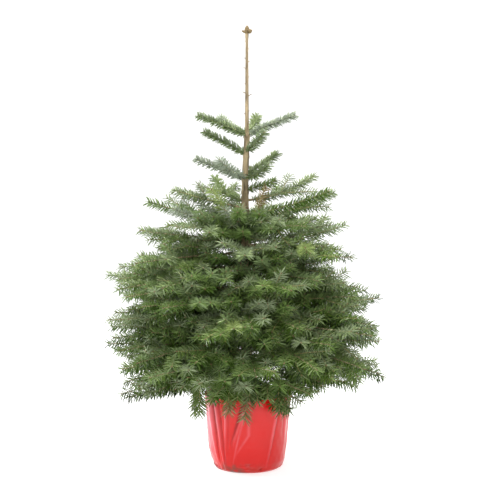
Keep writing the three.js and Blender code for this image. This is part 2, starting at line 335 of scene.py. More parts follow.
def add_shoot(path, years, rank):
    """Keeps a shoot and grows its side shoots: a pair at each node, and on a main bough at times
    one above or below."""
    shoots.append(Shoot(path, years, rank, path[-1, 2]))
    length = distances(path)[-1]
    for year, share in enumerate(node_shares(years), start=1):
        i = round(share * (len(path) - 2))
        ahead = unit(path[i + 1] - path[i])
        side = unit(np.cross(ahead, UP))
        more = YOUNGEST_MORE if year == years - 1 else OLDEST_MORE if year == 1 else 1
        left = length * (1 - share) * SIDE_SHARE * more
        lone = rng.choice((-0.8, 1, 1))
        for across, upward, part in ((-1, 0, 1), (1, 0, 1), (0, lone, LONE_SHARE)):
            if upward and (rank or rng.random() < NO_LONE_SHOOT):
                continue
            turn = SIDE_TURN * rng.uniform(0.85, 1.2)
            reach = left * part * rng.uniform(0.85, 1.18)
            if reach < SHORTEST:
                continue
            outward = unit(side * across + UP * (upward + rng.normal(0.08, 0.2)))
            heading = unit(ahead * math.cos(turn) + outward * math.sin(turn))
            side_path = path_from(path[i], heading, reach, ahead, rng.uniform(-0.6, 0.7))
            add_shoot(side_path, years - year, rank + 1)


# %% Fillers beside the large boughs
TIER_BEND = 0.3  # how much of the height between them a filler's tip takes back
PAIR_LIFTS = [(-36, -16), (14, 34)]  # how far above or below a bough its pair starts, in mm
FILLER_LIFTS = {  # the same for the fillers of a bough of so many years
    2: [(-20, 20)],
    3: [(18, 40), (-46, -22)],
    4: [(18, 40), (-44, -20)],
}
FILLED_FROM, FILLED_TO = 0.23, 0.66  # the whorls of the top stay open, and so does the air below
SIDEWAYS = 0.75  # a direction with more of x than this points at one of the tree's two sides


def turned(way, angle):
    """A direction turned about the upright axis."""
    c, s = math.cos(angle), math.sin(angle)
    return np.array([way[0] * c - way[1] * s, way[0] * s + way[1] * c, way[2]])


def swing(least, most):
    """A turn of so many degrees to the left or the right."""
    return math.radians(rng.uniform(least, most) * rng.choice((-1, 1)))


def filler(bough, turn, lift, share, years):
    """A smaller bough beside a large one, from another height on the trunk."""
    root = trunk_at(bough.root[2] + lift)
    tip = root + turned(bough.tip - bough.root, turn) * share - UP * lift * TIER_BEND
    middle = root + turned(bough.middle - bough.root, turn) * share
    return Bough(root, middle, tip, years)


main_boughs = list(boughs)
for bough in boughs:
    way = unit(bough.tip - bough.root)
    if bough.years == 4 and abs(way[0]) > SIDEWAYS:
        for low, high in PAIR_LIFTS:
            turn, lift = swing(5, 13), rng.uniform(low, high) * MM
            main_boughs.append(filler(bough, turn, lift, rng.uniform(0.92, 1.0), 3))
    for low, high in FILLER_LIFTS.get(bough.years, []):
        if FILLED_FROM < bough.root[2] + low * MM < FILLED_TO:
            turn, share = swing(12, 30), rng.uniform(0.7, 0.95)
            lift = rng.uniform(low, high) * MM
            main_boughs.append(filler(bough, turn, lift, share, bough.years - 1))
print(len(main_boughs), "boughs with the fillers")

# %% Weak boughs from the trunk
WEAK_HEIGHTS = np.arange(0.235, 0.64, 0.018)
GOLDEN_TURN = 2.4  # radians from each to the next, so that they never stand in line
NEAR = 0.09  # a weak bough takes its length from the strong ones that start this near
FRONT_SHOOTS = [
    # bearing in degrees, then height on the trunk, reach and rise in metres
    (284, 0.662, 0.15, 0.02), (238, 0.655, 0.15, 0.02), (218, 0.6, 0.19, 0),
    (268, 0.62, 0.17, 0.02), (250, 0.565, 0.21, 0.01), (302, 0.54, 0.22, 0.01),
    (276, 0.5, 0.25, 0), (260, 0.44, 0.28, -0.01),
]


def sagging(root, tip, sag, years):
    """A bough that hangs by so much half way along."""
    return Bough(root, (root + tip) / 2 - UP * sag, tip, years)


# They stand singly between the whorls and fill the crown's heart.
reaches = [(bough.root[2], np.linalg.norm(bough.tip - bough.root)) for bough in boughs]
for number, height in enumerate(WEAK_HEIGHTS):
    near = max(reach for at, reach in reaches if abs(at - height) < NEAR)
    rise = np.interp(height, [0.2, 0.45, 0.75], [-0.25, 0.1, 0.75])  # they droop low down
    way = turned(np.array([1.0, 0, rise]), GOLDEN_TURN * number)
    root = trunk_at(height)
    main_boughs.append(sagging(root, root + way * near * rng.uniform(0.38, 0.6), 6 * MM, 2))

# More of them stand in front of the trunk and hide it from the lowest of the open whorls down.
for bearing, height, reach, rise in FRONT_SHOOTS:
    way = turned(np.array([reach, 0, rise]), math.radians(bearing))
    root = trunk_at(height)
    main_boughs.append(sagging(root, root + way, 8 * MM, 2))
print(len(main_boughs), "boughs with the weak ones")

# %% Grow every bough
BOUGH_WANDER = 0.5 * MM
for bough in main_boughs:
    line = bough.path(6)
    line[1:-1] += rng.normal(0, BOUGH_WANDER, (len(line) - 2, 3))
    add_shoot(line, bough.years, 0)
print(len(shoots), "shoots")

# %% Shoots over the pot, browned shoots and fans at the front
OVER_POT = [  # near which wood each starts, and its tip
    ((-0.1, -0.1, 0.24), (-0.137, -0.112, 0.163)), ((-0.1, -0.1, 0.24), (-0.124, -0.12, 0.166)),
    ((-0.11, -0.09, 0.24), (-0.143, -0.1, 0.176)), ((-0.085, -0.115, 0.235), (-0.088, -0.14, 0.208)),
    ((-0.07, -0.1, 0.25), (-0.07, -0.15, 0.214)), ((-0.05, -0.13, 0.235), (-0.048, -0.155, 0.205)),
    ((-0.02, -0.12, 0.24), (-0.026, -0.16, 0.212)), ((0.0, -0.14, 0.25), (0.004, -0.17, 0.216)),
    ((0.02, -0.13, 0.24), (0.026, -0.158, 0.204)), ((0.05, -0.12, 0.24), (0.052, -0.15, 0.212)),
    ((0.07, -0.11, 0.24), (0.082, -0.13, 0.174)), ((0.08, -0.11, 0.24), (0.099, -0.122, 0.17)),
    ((0.09, -0.1, 0.24), (0.106, -0.11, 0.182)),
]
BROWNED = [  # two over the pot, and one that stands up in the crown
    ((0.01, -0.12, 0.23), (-0.008, -0.148, 0.157)), ((-0.03, -0.12, 0.23), (-0.05, -0.148, 0.176)),
    ((0.046, -0.06, 0.68), (0.047, -0.075, 0.746)),
]
FANS = [  # fresh shoots that point to the front
    ((-0.035, -0.2, 0.41), (-0.032, -0.33, 0.416)), ((0.14, -0.16, 0.6), (0.14, -0.27, 0.606)),
    ((-0.08, -0.08, 0.72), (-0.09, -0.17, 0.745)),
]


def wood_near(spot):
    """The point of existing wood nearest to a spot."""
    points = np.concatenate([shoot.path for shoot in shoots if shoot.rank < 3])
    return points[np.linalg.norm(points - spot, axis=1).argmin()]


def reach_out(start, tip, arch):
    """Grows a young shoot from the nearest wood to a tip. It arches up by so much half way."""
    line = sagging(wood_near(np.array(start)), np.array(tip), -arch, 1)
    add_shoot(line.path(5), 1, 1)
    return shoots[-1]


over_pot = [reach_out(start, tip, 14 * MM) for start, tip in OVER_POT]
browned = [reach_out(start, tip, 8 * MM) for start, tip in BROWNED]
fans = [reach_out(start, tip, 4 * MM) for start, tip in FANS]

wood_by_rank = [sum(distances(s.path)[-1] for s in shoots if s.rank == rank) for rank in range(4)]
print(len(over_pot), "shoots hang over the pot")
print(len(shoots), "shoots in all, with metres of wood by rank", np.round(wood_by_rank, 1))

# %% [markdown]
# ## Geometry Nodes: small trees
#
# Needles, twigs and buds repeat along the shoots, and bits of bark are strewn on the soil, so a
# small node tree makes each of them. It takes the shoots as plain lines of edges, or loose points,
# with a few numbers stored at each point, and has named inputs. A particle system could scatter
# them too, but not row by row. Each tree ends by making its copies real, because an export drops
# those that aren't. One helper adds a step to a tree, and another runs a tree on a mesh and keeps
# the result as an ordinary object.


# %% Helpers for any node tree
def add(tree, kind, *inputs, **settings):
    """Adds a node. Its inputs are numbers, or other nodes and sockets to be linked."""
    made = tree.nodes.new(kind)
    for setting, value in settings.items():
        setattr(made, setting, value)
    for socket, value in zip([s for s in made.inputs if s.enabled], inputs):
        if isinstance(value, bpy.types.Node):
            value = next(s for s in value.outputs if s.enabled)
        if isinstance(value, bpy.types.NodeSocket):
            tree.links.new(value, socket)
        elif value is not None:
            socket.default_value = value
    return made


def add_math(tree, operation, *values):
    return add(tree, "ShaderNodeMath", *values, operation=operation)


def product(tree, first, *others):
    """Several numbers multiplied."""
    for other in others:
        first = add_math(tree, "MULTIPLY", first, other)
    return first


def add_vector(tree, operation, *values):
    return add(tree, "ShaderNodeVectorMath", *values, operation=operation)


def scaled(tree, vector, factor):
    """A vector times a number."""
    made = add_vector(tree, "SCALE", vector)
    tree.links.new(factor.outputs[0], made.inputs["Scale"])
    return made


# %% Helpers for trees that make a piece
def new_tree(name, **inputs):
    """A node group that takes and gives a geometry, with more inputs given by name and kind."""
    tree = bpy.data.node_groups.new(name, "GeometryNodeTree")
    tree.interface.new_socket("Geometry", in_out="INPUT", socket_type="NodeSocketGeometry")
    for label, kind in inputs.items():
        tree.interface.new_socket(label, in_out="INPUT", socket_type="NodeSocket" + kind)
    tree.interface.new_socket("Geometry", in_out="OUTPUT", socket_type="NodeSocketGeometry")
    return tree, tree.nodes.new("NodeGroupInput").outputs


def stored(tree, name, kind="FLOAT"):
    """What is stored under a name at each point or face."""
    return add(tree, "GeometryNodeInputNamedAttribute", name, data_type=kind)


def drawn(tree, low, high, seed=None, kind="FLOAT"):
    """A number or a vector drawn anew for each point."""
    return add(tree, "FunctionNodeRandomValue", low, high, None, seed, data_type=kind)


def even_curves(tree, mesh, step):
    """The lines of a mesh as curves, with a point at every step."""
    made = add(tree, "GeometryNodeResampleCurve", add(tree, "GeometryNodeMeshToCurve", mesh), mode="LENGTH")
    tree.links.new(step, made.inputs["Length"])
    return made


def aimed(tree, along, facing):
    """A turn that points a pattern's length along one direction and its top at another."""
    return add(
        tree, "FunctionNodeAxesToRotation", along, facing, primary_axis="Y", secondary_axis="Z"
    )


def copies_on(tree, points, pattern, turn, size):
    """Real copies of a pattern, one turned and sized for each point."""
    copies = add(tree, "GeometryNodeInstanceOnPoints", points, True, pattern, False, 0, turn, size)
    return add(tree, "GeometryNodeRealizeInstances", copies)


def end_tree(tree, geometry, finish, smooth=True):
    """The last steps of a tree: shading, material and output."""
    if smooth:
        geometry = add(tree, "GeometryNodeSetShadeSmooth", geometry)
    add(tree, "NodeGroupOutput", add(tree, "GeometryNodeSetMaterial", geometry, True, finish))
    print("the tree of", tree.name, "has", len(tree.nodes), "nodes")


def run_tree(tree, name, source, **values):
    """Runs a tree on a mesh and keeps the result as an object with a plain mesh."""
    base = bpy.data.objects.new(name + " lines", source)
    scene.collection.objects.link(base)
    modifier = base.modifiers.new("nodes", "NODES")
    modifier.node_group = tree
    for item in tree.interface.items_tree:
        if item.in_out == "INPUT" and item.name in values:
            modifier[item.identifier] = values[item.name]
    evaluated = base.evaluated_get(bpy.context.evaluated_depsgraph_get())
    made = bpy.data.objects.new(name, bpy.data.meshes.new_from_object(evaluated))
    made.data.name = name
    scene.collection.objects.link(made)
    bpy.data.objects.remove(base)
    bpy.data.meshes.remove(source)
    print(name, "has", len(made.data.polygons), "faces")
    return made


# %% Meshes for the trees to work on
def store(mesh, name, values, kind="FLOAT"):
    """Stores a number or a vector for every point of a mesh."""
    data = mesh.attributes.new(name, kind, "POINT").data
    data.foreach_set("value" if kind == "FLOAT" else "vector", np.asarray(values, "f").ravel())


def lines_mesh(name, paths, **fields):
    """Separate lines of edges in one mesh. Each field has a list of numbers for every line."""
    counts = [len(path) for path in paths]
    starts = np.cumsum([0, *counts[:-1]])
    edges = [
        np.stack([np.arange(start, start + n - 1), np.arange(start + 1, start + n)], 1)
        for start, n in zip(starts, counts)
    ]
    mesh = bpy.data.meshes.new(name)
    mesh.from_pydata(np.concatenate(paths).tolist(), np.concatenate(edges).tolist(), [])
    for field, values in fields.items():
        store(mesh, field, np.concatenate(values))
    return mesh


def points_mesh(name, points, **fields):
    """Loose points. Each field has a vector for every one."""
    mesh = bpy.data.meshes.new(name)
    mesh.from_pydata(np.array(points).tolist(), [], [])
    for field, values in fields.items():
        store(mesh, field, values, "FLOAT_VECTOR")
    return mesh


# %% [markdown]
# ### Needles
#
# A fir needle is a flat blade, deep green above, with a keel and two pale bands below. On a shoot
# the needles stand in rows to both sides and over the top, none straight below, and they lean
# towards the tip. Seen from under the bough they show their pale side. The pattern needle has
# only ten triangles, because there are about a hundred thousand of them. The tree sets copies
# along every shoot: each step moves on to another of five rows, so that every row is an even comb
# that creeps slowly round the shoot, and the blade always turns its face up.


# %% Pattern needle
def pattern_needle():
    """A needle one unit long and one unit wide, with its pale underside marked."""
    points = [
        (-0.36, 0, 0), (0.36, 0, 0), (0, 0, -0.36),
        (-0.5, 0.62, 0.45), (0.5, 0.62, 0.45), (0, 0.62, 0.0),
        (0, 1, 0.1),
    ]
    upper = [(0, 1, 4, 3), (3, 4, 6)]
    under = [(0, 3, 5, 2), (2, 5, 4, 1), (3, 6, 5), (5, 6, 4), (1, 0, 2)]
    mesh = bpy.data.meshes.new("pattern needle")
    mesh.from_pydata(points, [], upper + under)
    marks = mesh.attributes.new("under", "BOOLEAN", "FACE")
    marks.data.foreach_set("value", [False] * len(upper) + [True] * len(under))
    made = bpy.data.objects.new("pattern needle", mesh)
    scene.collection.objects.link(made)
    return made


needle_pattern = pattern_needle()
needle_faces = len(needle_pattern.data.polygons)
print("the pattern needle has", needle_faces, "faces")

# %% Needle tree: the steps along a shoot
needle_tree, given = new_tree(
    "needles along shoots",
    Needle="Object", Spacing="Float", Length="Float", Width="Float", Lean="Float",
    Above="Material", Lit="Material", Below="Material", Seed="Int",
)
t = needle_tree
steps = even_curves(t, given["Geometry"], given["Spacing"])
ahead = add(t, "GeometryNodeInputTangent")
side = add_vector(t, "NORMALIZE", add_vector(t, "CROSS_PRODUCT", ahead, (0, 0, 1)))
lift = add_vector(t, "CROSS_PRODUCT", side, ahead)

# %% Needle tree: which row each needle is in
ROWS = 5
SPIRAL = 0.013  # how far the rows creep round the shoot from needle to needle
ROW_JITTER = 0.09
PARTING = 0.7  # the further under one, the fewer needles stand straight up

turns = add_math(t, "MULTIPLY_ADD", add(t, "GeometryNodeInputIndex"), 2 / ROWS + SPIRAL, 0.5 / ROWS)
across = add_math(t, "SUBTRACT", product(t, add_math(t, "FRACT", turns), 2.0), 1.0)
off_top = add_math(t, "POWER", add_math(t, "ABSOLUTE", across), PARTING)
parted = product(t, add_math(t, "SIGN", across), off_top)
jittered = add_math(t, "ADD", parted, drawn(t, -ROW_JITTER, ROW_JITTER, given["Seed"]))
roll = product(t, jittered, stored(t, "spread"))
to_side, to_top = add_math(t, "SINE", roll), add_math(t, "COSINE", roll)
outward = add_vector(t, "ADD", scaled(t, lift, to_top), scaled(t, side, to_side))

# %% Needle tree: how each needle leans, hangs and twists
TOP_LEAN, SIDE_LEAN = 0.66, 0.36  # the lean of a needle on top, and what one at the side adds
TWIST = 0.6

sideways = add_math(t, "ABSOLUTE", to_side)
lean_share = add_math(t, "MULTIPLY_ADD", sideways, SIDE_LEAN, TOP_LEAN)
lean = product(t, given["Lean"], lean_share, stored(t, "open"), drawn(t, 0.92, 1.1, given["Seed"]))
along_part = scaled(t, ahead, add_math(t, "COSINE", lean))
outward_part = scaled(t, outward, add_math(t, "SINE", lean))
fall = add(t, "ShaderNodeCombineXYZ", 0.0, 0.0, product(t, stored(t, "hang"), -1.0))
pointing = add_vector(t, "ADD", add_vector(t, "ADD", along_part, outward_part), fall)
twist = drawn(t, (-TWIST,) * 3, (TWIST,) * 3, given["Seed"], "FLOAT_VECTOR")
turn = aimed(t, pointing, add_vector(t, "ADD", lift, twist))

# %% Needle tree: how long each needle is, and the copies
TOP_LENGTH, SIDE_LENGTH = 0.76, 0.28  # the length of a needle on top, and what one below it adds
SHEEN_ROWS = 0.66  # needles nearer the top than this get the paler colour of a painted sheen

by_place = add_math(t, "MULTIPLY_ADD", off_top, SIDE_LENGTH, TOP_LENGTH)
length_jitter = drawn(t, 0.88, 1.1, given["Seed"])
length = product(t, given["Length"], stored(t, "vigour"), length_jitter, by_place)
size = add(t, "ShaderNodeCombineXYZ", given["Width"], length, given["Width"])
near_top = add(t, "FunctionNodeCompare", off_top, SHEEN_ROWS, data_type="FLOAT", operation="LESS_THAN")
marked = add(t, "GeometryNodeStoreNamedAttribute", steps, True, "on top", near_top, data_type="BOOLEAN")
pattern = add(t, "GeometryNodeObjectInfo", given["Needle"]).outputs["Geometry"]
needles = copies_on(t, marked, pattern, turn, size)
needles = add(t, "GeometryNodeSetMaterial", needles, True, given["Above"])
# the needles along the top get the paler finish: a painted sheen of the light from above
needles = add(t, "GeometryNodeSetMaterial", needles, stored(t, "on top", "BOOLEAN"), given["Lit"])
needles = add(t, "GeometryNodeSetMaterial", needles, stored(t, "under", "BOOLEAN"), given["Below"])
add(t, "NodeGroupOutput", needles)
print("the needle tree has", len(t.nodes), "nodes")

# %% [markdown]
# ### Needle colours
#
# No two shoots on a fir are quite the same green. Older shoots are deeper, this year's tips are
# fresher and yellower, inner shoots are painted deeper as painted shade, and those at the rim and
# in the crown are painted paler and silvery as painted light. Each shoot is dealt one of a few sets
# of plain colours: one for the blade's face, a paler one for the needles along the top of the shoot,
# which is a painted sheen of the light from above, and one for the pale undersides. Noise in a
# shader could tint them too, but the green changes from shoot to shoot and not across one.

# %% The greens
GREENS = [
    # name, face, underside
    ("deep", (32, 52, 6), (80, 104, 50)),
    ("shade", (45, 69, 8), (92, 116, 58)),
    ("leaf", (60, 86, 16), (106, 128, 74)),
    ("mid", (78, 101, 38), (120, 140, 94)),
    ("grey", (92, 110, 60), (134, 148, 114)),
    ("silver", (117, 128, 106), (160, 169, 153)),
    ("fresh", (82, 106, 34), (120, 142, 84)),
    ("tip", (98, 118, 48), (132, 148, 92)),
    ("brown", (106, 86, 46), (126, 106, 70)),
]
PAINTED_SHEEN = np.array([172, 180, 142])  # a pale grey-green mixed into the needles along the top as a painted sheen of the light from above
SHEEN_SHARE = 0.38  # how much of it is mixed into the face colour
needle_finishes = []
# each set has a paler copy of the face colour for the needles along the top, a painted sheen
for name, face, underside in GREENS:
    sheened = (1 - SHEEN_SHARE) * np.array(face) + SHEEN_SHARE * PAINTED_SHEEN
    needle_finishes.append((
        finish_of(f"needle face, {name}", linear(*face), 0.38, Specular_IOR_Level=0.32),
        finish_of(f"needle on top, {name}", linear(*sheened), 0.42, Specular_IOR_Level=0.3),
        finish_of(f"needle underside, {name}", linear(*underside), 0.6, Specular_IOR_Level=0.1),
    ))
print(len(GREENS), "sets of needle colours")


# %% What the needles do along a shoot
def finer(path, spacing=3 * MM):
    """The same path with a point every few millimetres."""
    along = distances(path)
    even_steps = np.linspace(0, along[-1], max(3, round(along[-1] / spacing)))
    return np.stack([np.interp(even_steps, along, path[:, axis]) for axis in range(3)], 1)


def crown_share(height):
    """Nought at the soil and one at the top of the leader."""
    return (height - soil_top) / (trunk_top - soil_top)


FOOT_REACH, TIP_REACH = 9 * MM, 6 * MM  # how far from its ends a shoot's needles are different
FOOT_SHORTER, TIP_SHORTER = 0.35, 0.12
TIP_CLOSED = 0.22  # near the tip the needles close round the buds
MAIN_BARE, SIDE_BARE = 0.09, 0.03  # the share of a main bough, or a side shoot, bared each year


def near_end(along, end, reach):
    """One at an end of a shoot, and fading over the reach."""
    return np.exp(-abs(along - end) / reach)


def needle_vigour(path):
    """Needles are long low down, and short at a shoot's foot and in the crown."""
    along = distances(path)
    foot, tip = near_end(along, 0, FOOT_REACH), near_end(along, along[-1], TIP_REACH)
    size = np.interp(crown_share(path[:, 2]), [0.05, 0.5, 0.7], [1.1, 1.0, 0.82])
    return size * (1 - FOOT_SHORTER * foot - TIP_SHORTER * tip)


def needle_opening(path):
    """How far the needles stand open at each point."""
    along = distances(path)
    return 1 - TIP_CLOSED * near_end(along, along[-1], TIP_REACH)


def bare_foot(shoot):
    """How much of a shoot's foot has lost its needles: old boughs are bare by the trunk."""
    bare = SIDE_BARE * shoot.years if shoot.rank else MAIN_BARE * max(0, shoot.years - 1)
    return 3 * MM + distances(shoot.path)[-1] * bare


# %% Deal each shoot its green
TINTS = {name: number for number, (name, _, _) in enumerate(GREENS)}
CROWN = 0.5  # the crown is what stands above this share of the tree
RIM = 0.37  # how far the longest boughs reach from the trunk
LIGHT = 2.05  # a shoot's place in the list of greens, before what follows is taken into account
# the years darken a shoot as its needles age; the top and rim terms paint light onto the crown and the rim,
# and inner shoots stay deep as painted shade
LESS_EACH_YEAR, MORE_EACH_RANK, PAINTED_LIGHT_AT_TOP, PAINTED_LIGHT_AT_RIM = 0.7, 0.25, 3.6, 1.3
FRESH_LIGHT = 3.2  # above this light, an inner shoot may be a fresh one


def green_of(shoot):
    """The tint of a shoot: older shoots are deeper, inner ones deeper as painted shade, and the rim and the
    crown paler and silvery as painted light.
    """
    for tint, chosen in (("tip", fans), ("brown", browned)):
        if any(shoot is one for one in chosen):
            return TINTS[tint]
    tip = shoot.path[-1]
    high = crown_share(shoot.height)
    rim = np.hypot(*(tip - trunk_at(tip[2]))[:2]) / RIM
    light = LIGHT - LESS_EACH_YEAR * shoot.years + MORE_EACH_RANK * shoot.rank
    light = light + PAINTED_LIGHT_AT_TOP * high + PAINTED_LIGHT_AT_RIM * rim + rng.normal(0, 1.3 - 0.65 * high)
    if light > FRESH_LIGHT and high < CROWN and rng.random() < 0.25 * (1.2 - rim):
        return TINTS["fresh"]
    return int(np.clip(round(light), 0, TINTS["silver" if high > CROWN else "grey"]))


# %% Coats of needles
@dataclass
class Coat:
    """The needles of one shoot: their path, how far round it they stand and how they hang."""

    path: np.ndarray
    spread: float
    hang: float


LOW = 0.6  # below this share of the tree, needles hang and spread more and more
LOW_SPREAD, CROWN_SPREAD = 30, 25  # how many degrees they spread more at the soil and in the crown
LOW_HANG = 0.3
THICKEST = 0.64  # above this share, the boughs carry three coats


def climb(value, start, end):
    """Goes from nought to one while the value goes from the start to the end."""
    return np.clip((value - start) / (end - start), 0, 1)


def coats_on(shoot):
    """How many coats a shoot has. The boughs of the crown are thick with needles."""
    if shoot.rank or crown_share(shoot.height) <= CROWN:
        return 1
    return 3 if crown_share(shoot.height) > THICKEST else 2


dressed = [[] for _ in GREENS]
for shoot in shoots:
    path = finer(shoot.path)
    path = path[distances(path) > bare_foot(shoot)]
    if len(path) > 3:
        low = 1 - climb(crown_share(shoot.height), 0, LOW)
        high = crown_share(shoot.height) > CROWN
        spread = math.radians(rng.uniform(115, 132) + LOW_SPREAD * low + CROWN_SPREAD * high)
        hang = rng.uniform(0, 0.12) + LOW_HANG * low * rng.uniform(0.3, 1)
        dressed[green_of(shoot)] += [Coat(path, spread, hang)] * coats_on(shoot)
print("coats of each green:", {green[0]: len(coats) for green, coats in zip(GREENS, dressed)})

# %% Dress the shoots
NEEDLE_LENGTH = 28 * MM
NEEDLE_WIDTH = 2.9 * MM
NEEDLE_SPACING = 1.25 * MM
NEEDLE_LEAN = math.radians(66)
MOST_WOOD = 18500 * NEEDLE_SPACING  # metres dressed in one piece, to keep it under 200,000 triangles


def shares_of(coats):
    """Splits the coats of one tint into lists that are each small enough for one piece."""
    wood = np.cumsum([distances(coat.path)[-1] for coat in coats])
    parts = np.minimum(wood / MOST_WOOD, wood[-1] / MOST_WOOD - 1e-9).astype(int)
    return [[coat for coat, part in zip(coats, parts) if part == n] for n in range(parts[-1] + 1)]


needle_pieces = []
for (tint, _, _), coats, (above, lit, below) in zip(GREENS, dressed, needle_finishes):
    for number, part in enumerate(shares_of(coats), start=1):
        lines = lines_mesh(
            "dressed shoots", [coat.path for coat in part],
            vigour=[needle_vigour(coat.path) for coat in part],
            open=[needle_opening(coat.path) for coat in part],
            spread=[np.full(len(coat.path), coat.spread) for coat in part],
            hang=[np.full(len(coat.path), coat.hang) for coat in part],
        )
        needle_pieces.append(run_tree(
            needle_tree, f"needles_{tint}_{number}", lines, Needle=needle_pattern,
            Spacing=NEEDLE_SPACING, Length=NEEDLE_LENGTH, Width=NEEDLE_WIDTH, Lean=NEEDLE_LEAN,
            Above=above, Lit=lit, Below=below, Seed=len(needle_pieces),
        ))
print(sum(len(piece.data.polygons) for piece in needle_pieces) // needle_faces, "needles in all")
bpy.data.objects.remove(needle_pattern)

# %% [markdown]
# ### Twigs
#
# The wood of the shoots is a tube along each path. This year's twigs are smooth and tan, older
# ones are brown and thicker. They could have relief like the main boughs further down, but their
# needles hide most of them, so five smooth sides are enough. One tree makes both ages: it takes
# the radius stored at each point.

# %% Tree that makes twigs
TWIG_SIDES = 5
twig_tree, given = new_tree("twigs along shoots", Step="Float", Bark="Material")
t = twig_tree
ring = add(t, "GeometryNodeCurvePrimitiveCircle", TWIG_SIDES, mode="RADIUS")
ring.inputs["Radius"].default_value = 1.0
steps = even_curves(t, given["Geometry"], given["Step"])
tube = add(t, "GeometryNodeCurveToMesh", steps, ring.outputs["Curve"], stored(t, "thick"), True)
end_tree(t, add(t, "GeometryNodeRealizeInstances", tube), given["Bark"])

# %% Make the twigs
TWIG_TIP = 0.95 * MM  # radius
TWIG_GROWTH = 0.42 * MM  # what each season adds
TWIG_STEP = 13 * MM  # between the rings of the tube


def twig_thickness(shoot):
    """A twig's radius at each point of its path."""
    share = np.linspace(0, 1, len(shoot.path))
    return TWIG_TIP + TWIG_GROWTH * shoot.years * (1 - share)


young_bark = finish_of("young twig", linear(150, 136, 92), 0.6)
old_bark = finish_of("old twig", linear(108, 93, 66), 0.75)
twig_pieces = []
for name, chosen, finish in (
    ("twigs_young", [s for s in shoots if s.years == 1], young_bark),
    ("twigs_old", [s for s in shoots if s.years > 1 and s.rank > 0], old_bark),
):
    thick = [twig_thickness(shoot) for shoot in chosen]
    lines = lines_mesh(name + " paths", [shoot.path for shoot in chosen], thick=thick)
    twig_pieces.append(run_tree(twig_tree, name, lines, Step=TWIG_STEP, Bark=finish))

# %% [markdown]
# ### Buds
#
# Each shoot ends in a bud with a smaller one on either side, ready for next year's node. They
# are egg-shaped, brown and a little shiny with resin. At this size a stretched ball of twenty
# faces is enough for each, and the smallest shoots only get the middle one.

# %% Tree that sets buds
bud_tree, given = new_tree("buds at tips", Scales="Material")
t = bud_tree
egg = add(t, "GeometryNodeMeshIcoSphere", 0.5, 1).outputs["Mesh"]
turn = aimed(t, stored(t, "aim", "FLOAT_VECTOR"), (0, 0, 1))
eggs = copies_on(t, given["Geometry"], egg, turn, stored(t, "size", "FLOAT_VECTOR"))
end_tree(t, eggs, given["Scales"])

# %% Set the buds
BUD_LENGTH = 5.5 * MM
BUD_WIDTH, BUD_OUT = 0.62, 0.35  # a bud's width and how far out its middle is, over its length
BUD_LEAN = 0.85
BUDS_AT_TIP = [(0, 1.0), (-1, 0.72), (1, 0.72)]  # to which side each leans, and its relative size
spots, aims, sizes = [], [], []
for shoot in shoots:
    tip = shoot.path[-1]
    heading = unit(tip - shoot.path[-2])
    side = unit(np.cross(heading, UP))
    for leans, share in BUDS_AT_TIP[: 3 if shoot.rank < 2 else 1]:
        way = unit(heading + leans * BUD_LEAN * side)
        length = BUD_LENGTH * share * rng.uniform(0.85, 1.1)
        spots.append(tip + way * length * BUD_OUT)
        aims.append(way)
        sizes.append((BUD_WIDTH * length, length, BUD_WIDTH * length))
bud_finish = finish_of("resinous bud", linear(112, 92, 62), 0.45)
buds = run_tree(bud_tree, "buds", points_mesh("tips", spots, aim=aims, size=sizes), Scales=bud_finish)

# %% [markdown]
# ## Wood with bark
#
# The trunk of a young fir is smooth: thin grey-tan bark with short level cracks, small resin
# blisters and a swelling where each whorl of boughs leaves. The leader carries the stubs of
# needles and buds that were rubbed off. The trunk is built as a fine tube whose radius comes from
# the frame, pushed in and out by noise. A bump in the shader adds the finest cracks, but the bare
# leader is seen in outline, where only relief in the mesh shows. The main boughs are made the same
# way, and the swelling is theirs: their feet widen where they leave the trunk.


# %% Tubes with relief
def closed_tube(points, rows, sides, ends, inward=False):
    """Faces for rings of points, closed by a fan at each end."""
    ring = np.arange(sides)
    after = (ring + 1) % sides
    row = np.arange(rows - 1)[:, None] * sides
    corners = (row + ring, row + sides + ring, row + sides + after, row + after)
    first, last = len(points), len(points) + 1
    top = (rows - 1) * sides
    faces = np.stack(corners, -1).reshape(-1, 4).tolist()
    faces += [(first, int(a), int(b)) for a, b in zip(ring, after)]
    faces += [(last, int(top + b), int(top + a)) for a, b in zip(ring, after)]
    if inward:
        faces = [face[::-1] for face in faces]
    return np.vstack([points, ends]), faces


def round_angles(sides):
    """The angles of a ring's points."""
    return np.linspace(0, 2 * math.pi, sides, endpoint=False)


def tube_arrays(middles, radii, sides, relief=None):
    """A closed tube through points. The relief adds to the radius at each angle and distance."""
    ahead = np.gradient(middles, axis=0)
    ahead /= np.linalg.norm(ahead, axis=1)[:, None]
    guide = np.array([1.0, 0, 0]) if abs(ahead[0, 2]) > 0.7 else UP
    side = np.cross(ahead, guide)
    side /= np.linalg.norm(side, axis=1)[:, None]
    lift = np.cross(side, ahead)
    angles = round_angles(sides)[None, :]
    outward = np.cos(angles)[..., None] * side[:, None] + np.sin(angles)[..., None] * lift[:, None]
    radius = radii[:, None] + (relief(distances(middles)[:, None], angles) if relief else 0)
    points = (middles[:, None] + outward * radius[..., None]).reshape(-1, 3)
    return closed_tube(points, len(middles), sides, [middles[0], middles[-1]])


def mesh_piece(name, parts, finish):
    """One smooth object from several sets of points and faces."""
    points, faces = [], []
    for part_points, part_faces in parts:
        start = sum(len(p) for p in points)
        faces += [tuple(start + i for i in face) for face in part_faces]
        points.append(np.asarray(part_points))
    mesh = bpy.data.meshes.new(name)
    mesh.from_pydata(np.vstack(points).tolist(), [], faces)
    mesh.polygons.foreach_set("use_smooth", [True] * len(faces))
    mesh.materials.append(finish)
    made = bpy.data.objects.new(name, mesh)
    scene.collection.objects.link(made)
    print(name, "has", len(faces), "faces")
    return made


